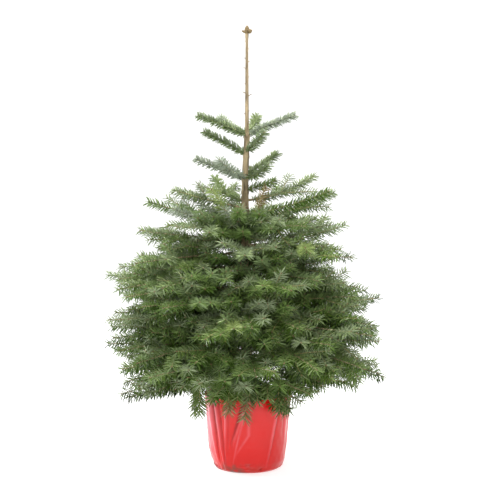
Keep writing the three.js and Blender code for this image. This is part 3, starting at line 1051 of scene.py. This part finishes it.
def waves(values, count, roughest, seed):
    """Smooth seeded noise of a pair of coordinates, as a sum of slanted waves."""
    pick = np.random.default_rng(seed)
    total = 0
    for _ in range(count):
        turn = pick.uniform(0, 2 * math.pi)
        rate = roughest * pick.uniform(0.3, 1)
        slant = values[0] * math.cos(turn) + values[1] * math.sin(turn)
        total = total + np.sin(rate * slant + pick.uniform(0, 7))
    return total / math.sqrt(count)


def bell(*gaps):
    """One where the gaps are nought, and next to nothing where one of them is two."""
    return np.exp(-sum(gap**2 for gap in gaps))


# %% Helpers for finishes with a pattern
def own_place(tree, stretch=None):
    """Each place on a piece, in the piece's own coordinates."""
    place = add(tree, "ShaderNodeTexCoord").outputs["Object"]
    if stretch:
        place = add(tree, "ShaderNodeMapping", place)
        place.inputs["Scale"].default_value = stretch
    return place


def cloud(tree, place, scale, detail=2):
    """Soft noise from nought to one."""
    made = add(tree, "ShaderNodeTexNoise", place)
    made.inputs["Scale"].default_value = scale
    made.inputs["Detail"].default_value = detail
    return made.outputs["Fac"]


def paint(finish, color):
    """Lets a node's colour be the colour of a finish."""
    finish.node_tree.links.new(color, shader_of(finish).inputs["Base Color"])


def paint_two_tones(finish, share, low, high, dark, pale):
    """A finish goes from dark to pale while the share goes from low to high."""
    ramp = add(finish.node_tree, "ShaderNodeValToRGB", share)
    for stop, position, color in zip(ramp.color_ramp.elements, (low, high), (dark, pale)):
        stop.position = position
        stop.color = linear(*color)
    paint(finish, ramp.outputs["Color"])


# %% Bark finish
bark = finish_of("fir bark", linear(138, 124, 98), 0.78, Specular_IOR_Level=0.25)
t = bark.node_tree
patches = cloud(t, own_place(t, (3.2, 3.2, 0.5)), 38, 5)  # drawn out up and down the trunk
paint_two_tones(bark, patches, 0.32, 0.68, (84, 72, 54), (172, 154, 122))

cracks = cloud(t, own_place(t, (1, 1, 5)), 130, 4)  # level and fine
bump = add(t, "ShaderNodeBump")
bump.inputs["Strength"].default_value = 0.35
bump.inputs["Distance"].default_value = 0.6 * MM
t.links.new(cracks, bump.inputs["Height"])
t.links.new(bump.outputs["Normal"], shader_of(bark).inputs["Normal"])
print("the bark has", len(t.nodes), "nodes")

# %% Trunk
LUMP, CRACK, RIB = 0.3 * MM, 0.35 * MM, 2.2 * MM  # how far each of them moves the bark
FLARE = 24 * MM  # the ribs of the root flare fade over this height
TRUNK_ROW, TRUNK_SIDES = 2.2 * MM, 28
BUD_SEAT = 1.3 * MM  # the leader swells by this much under its buds
STUBS = [
    # height in metres, bearing in degrees, length in millimetres
    (1.132, 150, 4), (1.112, 20, 3), (1.087, 182, 5), (1.078, 350, 4), (1.061, 175, 6), (1.052, 60, 3),
    (1.038, 5, 4), (1.02, 200, 3), (0.996, 178, 9), (0.989, 3, 11), (0.962, 230, 4), (0.948, 10, 4),
    (0.941, 190, 4), (0.925, 300, 3),
]
STUB_RADII = np.array([1.5, 1.3, 1.1, 1.0, 0.4]) * MM


def trunk_relief(along, angles):
    """Level cracks, blisters and, near the soil, the ribs of the root flare."""
    around = np.broadcast_to(angles, np.broadcast_shapes(along.shape, angles.shape))
    height = np.broadcast_to(along, around.shape)
    lump = waves((np.cos(around) * 4, height * 90), 6, 1.6, seed=1) * LUMP
    crack = waves((np.sin(around) * 2, height * 900), 7, 1.3, seed=2)
    crack = np.clip(crack - 0.9, 0, 1) * -CRACK
    ribs = np.exp(-height / FLARE) * np.cos(5 * around + 0.6) * RIB
    thin = np.interp(height, [0, 0.7, 1.0], [1, 0.75, 0.35])  # the leader is smoother
    return (lump + crack) * thin + ribs


def stub(height, bearing, length):
    """What is left of a needle or a bud on the leader."""
    way = turned(np.array([1.0, 0, 0.55]), math.radians(bearing))
    foot = trunk_at(height) + way * trunk_radius(height) * 0.6
    share = np.linspace(0, 1, len(STUB_RADII))[:, None]
    return tube_arrays(foot + unit(way) * share * (length + 2) * MM, STUB_RADII, 7)


trunk_heights = np.arange(soil_top, trunk_top, TRUNK_ROW)
under_buds = bell((trunk_heights - trunk_top + 6 * MM) / (9 * MM))
trunk_radii = trunk_radius(trunk_heights) * 0.99 + under_buds * BUD_SEAT
stem = tube_arrays(trunk_at(trunk_heights), trunk_radii, TRUNK_SIDES, trunk_relief)
trunk = mesh_piece("trunk_bark", [stem, *(stub(*row) for row in STUBS)], bark)

# %% Main boughs
BOUGH_TIP = 1.1 * MM
BOUGH_GROWTH = 0.95 * MM
BOUGH_FOOT = 1.8 * MM  # what a bough gains where it leaves the trunk
BOUGH_LUMP = 0.22 * MM
BOUGH_SIDES = 7


def bough_arrays(shoot, seed):
    """A bough's wood: it tapers to the tip and is a little lumpy."""
    middles = finer(shoot.path, STEP)
    share = np.linspace(0, 1, len(middles))
    radii = BOUGH_TIP + BOUGH_GROWTH * shoot.years * (1 - share) ** 1.2
    radii += BOUGH_FOOT * np.exp(-distances(middles) / (14 * MM))

    def relief(along, angles):
        return waves((along * 160, np.cos(angles) * 2), 5, 1.5, seed) * BOUGH_LUMP

    return tube_arrays(middles, radii, BOUGH_SIDES, relief)


bare_boughs = [shoot for shoot in shoots if shoot.rank == 0 and shoot.years > 1]
bough_parts = [bough_arrays(shoot, number) for number, shoot in enumerate(bare_boughs)]
bough_bark = mesh_piece("bough_bark", bough_parts, bark)

# %% [markdown]
# ### The leader's buds
#
# The leader ends in next year's growth: one fat upright bud with four round it. Bud scales
# overlap like roof tiles. Each scale could be a piece of its own, but the largest bud is only
# 23 mm long, so each bud is one egg that is ridged in a spiral.

# %% Eggs with scales
LEADER_BUDS = [
    # direction, length and width in millimetres, sharpness
    ((0.02, 0, 1), 23, 12.5, 0.9),
    ((-0.97, -0.1, 0.3), 15.5, 7.5, 1.3),
    ((0.92, -0.1, 0.4), 15.5, 11.5, 0.8),
    ((0.1, -0.85, 0.6), 12, 8.5, 1.0),
    ((-0.1, 0.9, 0.5), 12, 7.0, 1.2),
]
SCALE_RELIEF = 0.07  # over the bud's radius
RIDGES, RIDGE_TURN = 4, 9  # pairs of ridges round the bud, and how far they wind on their way up


def egg_arrays(foot, way, length, width, point, rows=20, sides=24):
    """A bud from its foot along a direction. The larger the point, the sharper the tip."""
    way = unit(np.asarray(way, float))
    side = unit(np.cross(way, (0.3, 1, 0.2)))
    other = np.cross(side, way)
    share = np.linspace(0, 1, rows + 2)[1:-1, None]
    angles = round_angles(sides)[None, :]
    swell = np.sin(math.pi * share ** (0.75 / point)) ** 0.62
    ridges = np.abs(np.sin(RIDGES * angles + RIDGE_TURN * share))
    radius = width / 2 * swell * (1 + SCALE_RELIEF * ridges * np.sin(math.pi * share))
    spine = foot + way * length * share[..., None]
    ring = np.cos(angles)[..., None] * side + np.sin(angles)[..., None] * other
    points = (spine + radius[..., None] * ring).reshape(-1, 3)
    return closed_tube(points, rows, sides, [foot, foot + way * length])


leader_top = trunk_at(trunk_top - 3 * MM)
bud_parts = [
    # the upright bud starts a little lower than those round it
    egg_arrays(leader_top + UP * 4 * MM * (way[2] < 0.9), way, length * MM, width * MM, point)
    for way, length, width, point in LEADER_BUDS
]
bud_scales = finish_of("bud scales", linear(116, 98, 66), 0.7, Specular_IOR_Level=0.25)
t = bud_scales.node_tree
paint_two_tones(bud_scales, cloud(t, own_place(t), 420), 0.35, 0.65, (80, 64, 40), (132, 114, 80))
leader_buds = mesh_piece("leader_bud_cluster", bud_parts, bud_scales)

# %% [markdown]
# ## Pot and soil
#
# A nursery pot is moulded black plastic, tapered so that pots nest, with a rolled lip that
# stiffens the rim. Only its rim shows inside the film. The compost has sunk a little below the rim
# and is strewn with bits of bark. Both could be cut from cylinders, but a profile turned about the
# axis gives the taper, the lip and the hollow at once.


# %% Turned shapes
def turned_arrays(profile, sides, shape=None):
    """A closed shape turned about the upright axis from a profile of radius and height. The
    first and last points lie on the axis. The shape, if any, moves radius and height by angle."""
    profile = np.asarray(profile, float)
    angles = round_angles(sides)
    radius, height = (np.repeat(profile[1:-1, k : k + 1], sides, 1) for k in (0, 1))
    if shape:
        radius, height = shape(radius, height, angles[None, :] + 0 * radius)
    points = np.stack([radius * np.cos(angles), radius * np.sin(angles), height], -1).reshape(-1, 3)
    ends = [(0, 0, profile[0, 1]), (0, 0, profile[-1, 1])]
    return closed_tube(points, len(profile) - 2, sides, ends, inward=True)


def smooth_profile(points, step):
    """The same profile with more points, no two further apart than the step."""
    fine = [points[0]]
    for a, b in zip(points[:-1], points[1:]):
        count = max(1, math.ceil(math.dist(a, b) / step))
        for i in range(1, count + 1):
            fine.append(tuple(np.interp(i / count, [0, 1], pair) for pair in zip(a, b)))
    return fine


def reach_of(points):
    """How far from the upright axis each point is."""
    return np.hypot(points[:, 0], points[:, 1])


# %% Pot
WALL = 2.5 * MM
ROLL = 3 * MM  # how far the lip stands out
LIP_DEPTH = 11 * MM
LIP_ROUND = 1.5 * MM

pot_points = points_of("pot")
pot_foot, pot_top = pot_points[:, 2].min(), pot_points[:, 2].max()
pot_lip = reach_of(pot_points).max()
foot_radius = reach_of(pot_points[pot_points[:, 2] < pot_foot + 6 * MM]).max()
rim_radius = pot_lip - ROLL
lip_curve = [
    (pot_lip - LIP_ROUND * (1 - math.cos(angle)), pot_top - LIP_ROUND * (1 - math.sin(angle)))
    for angle in np.linspace(0, math.pi / 2, 5)
]
pot_profile = [
    # outside, from the middle of the foot to the lip
    (0, pot_foot), (foot_radius - 6 * MM, pot_foot), (foot_radius - 1.5 * MM, pot_foot + 1 * MM),
    (foot_radius, pot_foot + 4 * MM), (rim_radius - 1 * MM, pot_top - LIP_DEPTH - 2 * MM),
    (pot_lip - 0.5 * MM, pot_top - LIP_DEPTH), (pot_lip, pot_top - LIP_DEPTH + 1 * MM), *lip_curve,
    # inside, from the lip to the middle of the foot
    (rim_radius - WALL + 1 * MM, pot_top), (rim_radius - WALL, pot_top - 1 * MM),
    (foot_radius - WALL - 1 * MM, pot_foot + 4 * MM), (foot_radius - WALL - 4 * MM, pot_foot + WALL),
    (0, pot_foot + WALL),
]
pot_black = finish_of("black pot plastic", linear(30, 30, 32), 0.45)
pot = mesh_piece("nursery_pot", [turned_arrays(pot_profile, 128)], pot_black)

# %% Soil
soil_points = points_of("root_ball")
soil_foot, soil_high = soil_points[:, 2].min(), soil_points[:, 2].max()
soil_edge = reach_of(soil_points).max()
soil_foot_radius = reach_of(soil_points[soil_points[:, 2] < soil_foot + 2 * MM]).max()
shoulder = soil_high - 5 * MM  # lumps are only above this height


def soil_shape(radius, height, angles):
    """Lumps on the top of the soil only."""
    x, y = radius * np.cos(angles) / MM, radius * np.sin(angles) / MM
    broad, fine = waves((x, y), 8, 0.16, seed=4) * 1.8 * MM, waves((x, y), 8, 0.7, seed=5) * 0.7 * MM
    lump = np.minimum(broad + fine, 4 * MM) - 2 * MM
    return radius, height + np.where(height > shoulder, lump, 0)


soil_corners = [
    (0, soil_foot), (soil_foot_radius, soil_foot), (soil_edge, shoulder),
    (soil_edge - 7 * MM, soil_high - 1 * MM), (0, soil_high),
]
soil_parts = [turned_arrays(smooth_profile(soil_corners, 3 * MM), 96, soil_shape)]
compost = finish_of("compost", linear(56, 42, 30), 0.95)
t = compost.node_tree
paint_two_tones(compost, cloud(t, own_place(t), 260), 0, 1, (34, 25, 18), (92, 70, 48))
soil = mesh_piece("compost_surface", soil_parts, compost)

# %% Bits of bark on the soil
CHIPS = 900
chip_tree, given = new_tree("bark bits", Bark="Material")
t = chip_tree
lump = add(t, "GeometryNodeMeshIcoSphere", 0.5, 1).outputs["Mesh"]
turn = drawn(t, (0.0,) * 3, (6.28,) * 3, kind="FLOAT_VECTOR")
chips = copies_on(t, given["Geometry"], lump, turn, stored(t, "size", "FLOAT_VECTOR"))
end_tree(t, chips, given["Bark"], smooth=False)

spots, sizes = [], []
for _ in range(CHIPS):
    radius = (soil_edge - 8 * MM) * math.sqrt(rng.uniform(0.04, 1))
    angle = rng.uniform(0, 2 * math.pi)
    height = soil_high + rng.uniform(-2.5, 0.5) * MM
    length = rng.uniform(1.5, 6.5) * MM
    spots.append((radius * math.cos(angle), radius * math.sin(angle), height))
    sizes.append(length * np.array([1, rng.uniform(0.4, 0.9), rng.uniform(0.3, 0.6)]))
chip_finish = finish_of("bits of bark", linear(84, 62, 44), 0.9)
bits = run_tree(chip_tree, "bark_bits", points_mesh("bits", spots, size=sizes), Bark=chip_finish)

# %% [markdown]
# ## Red film
#
# The pot stands in a bag of thin glossy film. The bag is wider than the pot at the top and has
# been pulled tight below, so it falls in long soft pleats that run down and inwards. One sharp
# crease crosses the front, the bottom edge is gathered into small wrinkles, and the lower left
# corner is drawn in. Some soil has rubbed off near the ground. A cloth simulation would fold the
# film too, but not in chosen places, so each pleat in front is a row in a table. The film is one
# closed thin shell: the outer skin, a top edge and an inner skin, all moved by the same folds.


# %% Pleats
class Pleat(NamedTuple):
    """A fold that runs down the film from one place to another."""

    top: float  # degrees round the bag, nought in front and negative on the left
    high: float  # metres
    bottom: float
    low: float
    out: float  # millimetres, negative where the film is folded in
    half_width: float  # degrees


PLEATS = [
    Pleat(-63, 0.20, -52.5, 0.04, 5.2, 3.4),
    Pleat(-54.5, 0.20, -46, 0.03, -3.4, 2.0),
    Pleat(-49, 0.20, -37.5, 0.012, 4.6, 2.0),
    Pleat(-43, 0.20, -34, 0.02, -2.4, 2.0),
    Pleat(-30, 0.18, -35, 0.02, 2.4, 1.5),
    Pleat(-26, 0.18, -29, 0.05, -1.0, 2.0),
    Pleat(-76, 0.20, -66, 0.03, 2.4, 3.0),
    Pleat(-3.5, 0.20, -23, 0.085, -5.0, 2.1),
    Pleat(0.5, 0.20, -19.5, 0.08, 2.2, 1.8),
    Pleat(-6, 0.14, -21.5, 0.03, 2.0, 1.6),
    Pleat(2, 0.105, -17, 0.05, 1.4, 1.8),
    Pleat(44, 0.18, 29.5, 0.025, 3.0, 1.7),
    Pleat(48, 0.18, 33, 0.03, -1.2, 2.0),
    Pleat(64, 0.20, 63, 0.07, 2.6, 3.4),
    Pleat(76, 0.20, 71, 0.03, -1.6, 3.0),
    Pleat(56, 0.20, 58, 0.09, -1.2, 2.6),
]
pick = np.random.default_rng(8)
for angle in range(92, 285, 13):  # the back of the bag, where every pleat is much alike
    top = angle + pick.uniform(-4, 4)
    bottom, low = top + pick.uniform(-9, 9), pick.uniform(0.02, 0.08)
    PLEATS.append(Pleat(top, 0.2, bottom, low, pick.uniform(-1.8, 2.2), pick.uniform(2, 4)))


def degrees_round(angles):
    """Angles as a pleat counts them: nought in front, negative on the left."""
    return (np.degrees(angles) + 270) % 360 - 180


def near_pleat(front, height, pleat):
    """How near each place is to a pleat: its strength along its length, and its profile."""
    share = climb(height, pleat.low, pleat.high)
    middle = pleat.bottom + (pleat.top - pleat.bottom) * share
    gap = (front - middle + 180) % 360 - 180
    fade = climb(height, pleat.low - 20 * MM, pleat.low + 10 * MM) * np.minimum(0.35 + share, 1)
    return fade, gap / (pleat.half_width * (0.7 + 0.5 * share))


print(len(PLEATS), "pleats")

# %% How the film is folded
PUCKERS = [
    # degrees round the bag, height in metres, out in mm, half width in degrees, half height in mm
    (-1, 0.021, 5.0, 9, 3.4), (1.5, 0.012, -3.0, 10, 2.6), (22, 0.01, -5, 7, 5),
]
PUCKER_TILT = 0.16  # millimetres up for each degree to the right
GATHERED = 13 * MM  # the small wrinkles at the ground fade over this height
CORNER, CORNER_WIDTH = -74, 26  # where the film is drawn in, in degrees
DRAWN_IN = 7 * MM
EDGE_WAVE = 2.2 * MM


def clearance(height):
    """The least radius the film may have at a height, so that it stays outside the pot."""
    heights = [pot_foot, pot_foot + 4 * MM, pot_top]
    return np.interp(height, heights, [foot_radius - 6 * MM, foot_radius, rim_radius]) + 1.2 * MM


def gathers(front, height):
    """Wrinkles and puckers along the bottom edge."""
    fine = waves((front * 0.9, height * 200), 9, 1.1, seed=13) * 1.2 * MM * np.exp(-height / GATHERED)
    for middle, level, out, wide, tall in PUCKERS:
        rise = (height - level) / MM - PUCKER_TILT * (front - middle)
        fine += out * MM * bell((front - middle) / wide, rise / tall)
    return fine


def film_shape(radius, height, angles):
    """Moves the film by its pleats, its gathers at the ground and its uneven top edge."""
    front = degrees_round(angles)
    out = np.zeros_like(radius)
    for pleat in PLEATS:
        fade, gap = near_pleat(front, height, pleat)
        out += pleat.out * MM * fade * bell(gap)
    soft = waves((front * 0.11, height * 35), 7, 1.0, seed=11) * 0.5 * MM
    crumple = waves((front * 0.5, height * 320), 9, 1.2, seed=12) * 0.28 * MM
    out += (soft + crumple) * climb(height, 0, 30 * MM)
    out += gathers(front, height) * climb(height, 0, 3 * MM)
    out -= bell((front - CORNER) / CORNER_WIDTH) * climb(height, 50 * MM, 5 * MM) * DRAWN_IN
    out = np.maximum(out, clearance(height) - radius)
    edge = waves((front * 0.22, 0 * height), 5, 1.0, seed=14) * EDGE_WAVE
    edge = edge * climb(height, 150 * MM, 200 * MM)
    return radius + out * climb(height, 0, 2 * MM), height + edge


# %% Outline of the film
FILM = 0.7 * MM
ROW = 2.4 * MM  # between rows of points up the side
bag_points = points_of("pot_bag")
levels = np.unique(bag_points[:, 2].round(4))
levels = levels[(levels < 0.5 * MM) | (levels > 2 * MM)]  # without the inside of the bottom
side_line = [
    (reach_of(bag_points[abs(bag_points[:, 2] - level) < 1 * MM]).mean(), level) for level in levels
]
bottom_radius = side_line[0][0]
bottom = smooth_profile([(6 * MM, 0), (bottom_radius - 4 * MM, 0)], 8 * MM)
outer = [(0, 0), *bottom, *smooth_profile(side_line, ROW)]
inner = [(radius - FILM, max(height, FILM)) for radius, height in outer[:0:-2]]
film_profile = [*outer, *inner, (0, FILM)]
print("the film's bottom is", round(2 * bottom_radius / MM), "mm across")


# %% Film finish
def blend(tree, share, first, second):
    """A colour on the way from a first to a second."""
    made = add(tree, "ShaderNodeMix", share, first, second, data_type="RGBA")
    return next(socket for socket in made.outputs if socket.enabled)


RED = linear(200, 12, 5)
# pale pink for painted highlights along the pleats, deep red for painted shade in the folds, brown for real
# dust
PAINTED_HIGHLIGHT, FOLD_SHADE, DUSTY = linear(244, 160, 172), linear(120, 0, 2), linear(112, 62, 48)
DIRT_HEIGHT = 60 * MM
film = finish_of(
    "glossy red film", RED, 0.28, Specular_IOR_Level=0.33, Coat_Weight=0.15, Coat_Roughness=0.1
)
t = film.node_tree
place = own_place(t)
height = add(t, "ShaderNodeSeparateXYZ", place).outputs["Z"]
low_down = add(t, "ShaderNodeMapRange", height, 0.0, DIRT_HEIGHT, 1.0, 0.0)
smear = add_math(t, "MULTIPLY", cloud(t, place, 60, 6), low_down)
dirt = add(t, "ShaderNodeMapRange", smear, 0.26, 0.5)
ridge_highlight, folded, rubbed = (
    add(t, "ShaderNodeAttribute", attribute_name=name).outputs["Fac"]
    for name in ("ridge_highlight", "folded", "rubbed")
)
# the folds are darkened to a deep red as painted shade
color = blend(t, folded, blend(t, ridge_highlight, RED, PAINTED_HIGHLIGHT), FOLD_SHADE)
paint(film, blend(t, add_math(t, "MULTIPLY", dirt, rubbed), color, DUSTY))
bag = mesh_piece("red_film", [turned_arrays(film_profile, 600, film_shape)], film)

# %% Marks on the film
# A painted highlight lies along the left flank of each pleat that stands out and up the left side,
# a painted shade lies in each pleat that is folded in, and the film is dusty where soil has rubbed
# on it. Places round it and widths are in degrees.
HIGHLIGHT_PER_MM, SHADE_PER_MM = 0.13, 0.2
LEFT_HIGHLIGHT, LEFT_HIGHLIGHT_WIDTH = -66, 9  # a band of painted highlight up the left side
RUBBED, RUBBED_WIDTH = -24, 20
bag_places = np.array([vertex.co for vertex in bag.data.vertices])
front = degrees_round(np.arctan2(bag_places[:, 1], bag_places[:, 0]))
rise = bag_places[:, 2]
highlit, deep = np.zeros(len(front)), np.zeros(len(front))
for pleat in PLEATS:
    fade, gap = near_pleat(front, rise, pleat)
    if pleat.out > 0:
        # a painted highlight on the left flank of a pleat that stands out
        highlit += HIGHLIGHT_PER_MM * pleat.out * fade * bell((gap + 0.3) / 0.95)
    else:
        # painted shade in a pleat that is folded in
        deep -= SHADE_PER_MM * pleat.out * fade * bell((gap + 0.2) / 0.9)
highlit *= 0.75 + 0.25 * waves((front * 0.8, rise * 60), 6, 1.0, seed=21)
highlit += 0.7 * bell((front - LEFT_HIGHLIGHT) / LEFT_HIGHLIGHT_WIDTH) * climb(rise, 0, 150 * MM)
store(bag.data, "ridge_highlight", np.clip(highlit, 0, 0.9))
store(bag.data, "folded", np.clip(deep, 0, 0.95))
store(bag.data, "rubbed", 0.2 + 0.8 * bell((front - RUBBED) / RUBBED_WIDTH))
print("of", len(front), "points", (highlit > 0.3).sum(), "are milky and", (deep > 0.3).sum(), "deep")

# %% [markdown]
# ## Handing the pieces to the frame
#
# Every piece rides on the tree's one body. The needles stand for all the masses of foliage
# together, and the bark of the main boughs for their three bare starts. The compost and its bits
# of bark share the root ball, and each other solid has a piece of its own. Twigs and shoot buds
# stand for no solid.

# %% Hand over the pieces
bare_starts = [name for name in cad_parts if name.startswith("bough_")]
for pieces, nodes, slot in (
    (needle_pieces, sprays, "needles"), (twig_pieces, [], "bark"), ([buds], [], "buds"),
    ([trunk], ["trunk"], "bark"), ([bough_bark], bare_starts, "bark"),
    ([leader_buds], ["leader_buds"], "buds"), ([pot], ["pot"], "pot"),
    ([soil, bits], ["root_ball"], "soil"), ([bag], ["pot_bag"], "film"),
):
    for piece in pieces:
        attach(piece, "root")
        if nodes:
            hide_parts(*nodes)
